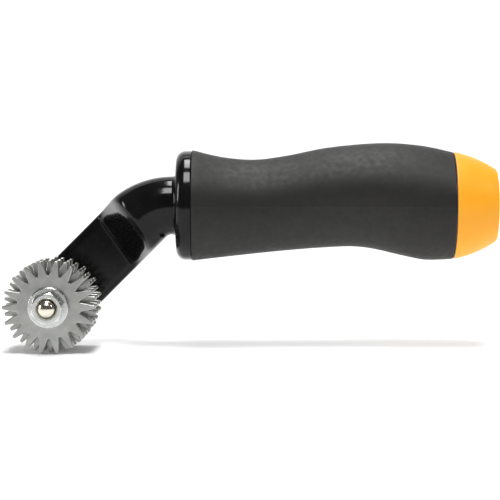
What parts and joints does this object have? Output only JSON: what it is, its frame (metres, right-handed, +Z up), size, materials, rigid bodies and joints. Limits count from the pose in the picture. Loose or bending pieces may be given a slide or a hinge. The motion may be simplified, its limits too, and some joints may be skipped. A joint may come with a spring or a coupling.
{
  "type": "star wheel seam roller",
  "caption": "Hand roller with a stack of toothed steel discs on a cantilever axle, a cranked black arm and a contoured two-tone grip.",
  "frame": {"origin": "under the middle of the tool's box, on the surface that the lowest teeth touch", "axes": "+X from the roller towards the butt of the handle, +Y from the axle's nut towards the arm, +Z up"},
  "size_m": [0.1864, 0.0582, 0.079],
  "materials": {
    "disc_zinc": "satin zinc plate",
    "bright_steel": "bright zinc plate",
    "bush_bronze": "oiled sintered bronze",
    "arm_black": "gloss black enamel",
    "grip_black": "soft matte moulding",
    "core_black": "as moulded",
    "cap_orange": "satin moulding"
  },
  "bodies": {
    "tool_frame": {"arm_casting": "arm_black", "axle_bolt": "bright_steel", "axle_nut": "bright_steel", "front_washer": "bright_steel", "rear_washer": "bright_steel", "inner_sleeve": "disc_zinc", "grip_sleeve": "grip_black", "handle_core": "core_black", "tang_washer": "disc_zinc", "tang_screw": "bright_steel", "end_cap": "cap_orange"},
    "roller": {"star_disc_1": "disc_zinc", "star_disc_2": "disc_zinc", "star_disc_3": "disc_zinc", "star_disc_4": "disc_zinc", "star_disc_5": "disc_zinc", "star_disc_6": "disc_zinc", "spacer_ring_1": "disc_zinc", "spacer_ring_2": "disc_zinc", "spacer_ring_3": "disc_zinc", "spacer_ring_4": "disc_zinc", "spacer_ring_5": "disc_zinc", "roller_hub": "disc_zinc", "bush_front": "bush_bronze", "bush_rear": "bush_bronze"}
  },
  "joints": [
    {"name": "roller_spin", "type": "hinge", "parent": "tool_frame", "child": "roller", "pos_m": [-0.07575, 0, 0.0175], "axis": [0, 1, 0], "continuous": true}
  ]
}
